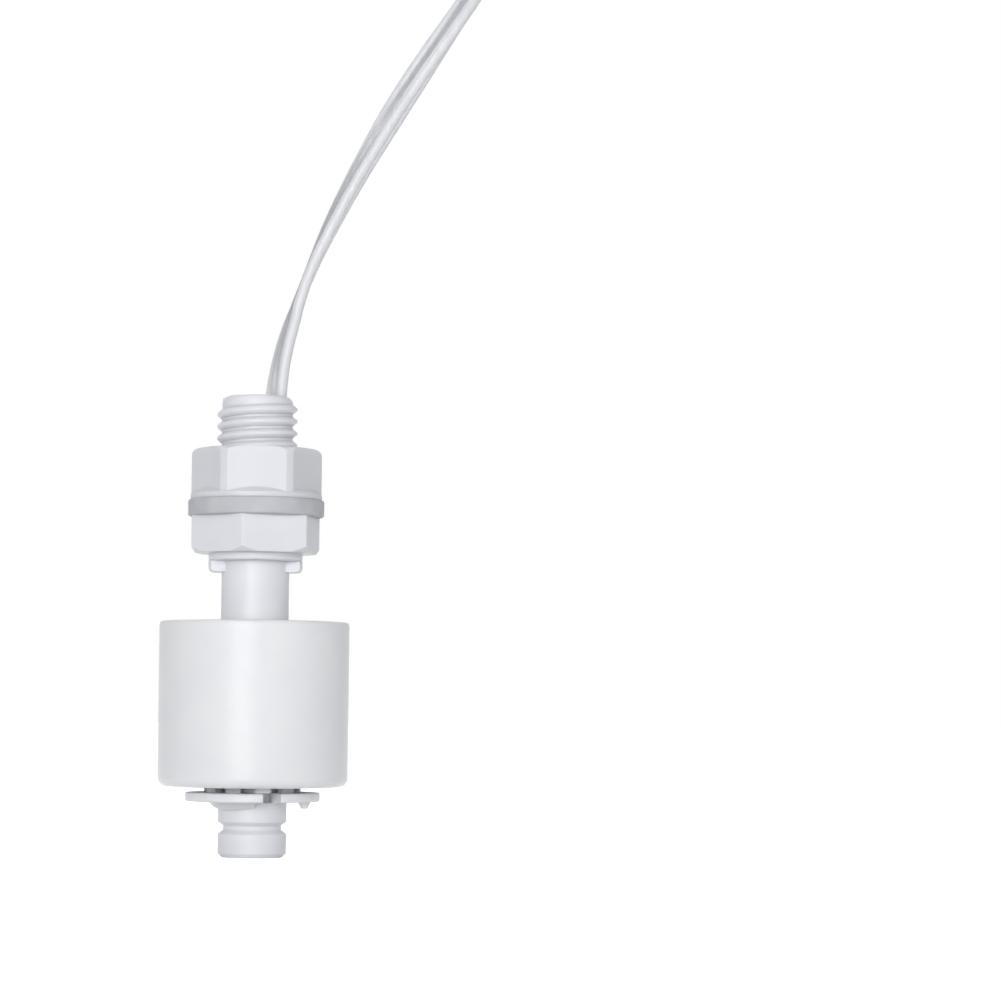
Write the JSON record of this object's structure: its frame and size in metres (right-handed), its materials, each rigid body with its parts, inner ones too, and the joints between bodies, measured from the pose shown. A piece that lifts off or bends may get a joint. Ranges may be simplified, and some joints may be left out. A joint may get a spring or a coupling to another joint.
{
  "type": "float level switch",
  "caption": "Small vertical float level switch: a screwed stub with lock nut and gasket, a stem with a sliding ring float, a snap clip and a twin lead.",
  "frame": {"origin": "on the stem's axis at the sealing plane, where the gasket's top face meets the tank wall", "axes": "+Z along the stem and the screwed stub, out of the tank; the front of the switch faces -Y"},
  "size_m": [0.0434, 0.047, 0.1182],
  "materials": {
    "body_plastic": "moulded white polypropylene, satin",
    "nut_plastic": "moulded white polypropylene, satin",
    "gasket_rubber": "pale grey silicone rubber, matt",
    "float_plastic": "moulded white polypropylene, smooth satin",
    "clip_plastic": "moulded white polypropylene, satin",
    "ferrite": "sintered ferrite, dark grey, ground faces",
    "reed_glass": "clear green-tinted sealing glass",
    "reed_metal": "nickel-iron reed, plated",
    "core_insulation": "extruded white PVC",
    "conductor_copper": "stranded copper",
    "potting_resin": "cast epoxy resin, off-white",
    "shrink_sleeve": "black heat-shrink sleeve",
    "lead_insulation": "extruded white PVC twin lead",
    "tie_plastic": "plastic-covered wire tie",
    "tinned_wire": "stripped, twisted and tinned wire"
  },
  "bodies": {
    "switch": {"switch_body": "body_plastic", "gasket": "gasket_rubber", "retaining_clip": "clip_plastic", "reed_glass": "reed_glass", "reed_blade_upper": "reed_metal", "reed_blade_lower": "reed_metal", "lead_core_short": "core_insulation", "lead_core_long": "core_insulation", "conductor_short": "conductor_copper", "conductor_long": "conductor_copper", "resin_plug": "potting_resin", "joint_sleeve_upper": "shrink_sleeve", "joint_sleeve_lower": "shrink_sleeve", "lead_cord": "lead_insulation", "lead_hank": "lead_insulation", "hank_tie": "tie_plastic", "lead_end_a": "tinned_wire", "lead_end_b": "tinned_wire"},
    "magnet": {"ring_magnet": "ferrite"},
    "float": {"float_shell": "float_plastic", "float_cap": "float_plastic"},
    "nut": {"lock_nut": "nut_plastic"}
  },
  "joints": [
    {"name": "float_slide", "type": "slide", "parent": "switch", "child": "magnet", "axis": [0, 0, 1], "range_m": [0, 0.0061]},
    {"name": "float_spin", "type": "hinge", "parent": "magnet", "child": "float", "pos_m": [0, 0, -0.022], "axis": [0, 0, 1], "continuous": true},
    {"name": "nut_travel", "type": "slide", "parent": "switch", "child": "nut", "axis": [0, 0, 1], "range_m": [0, 0.0065]}
  ]
}
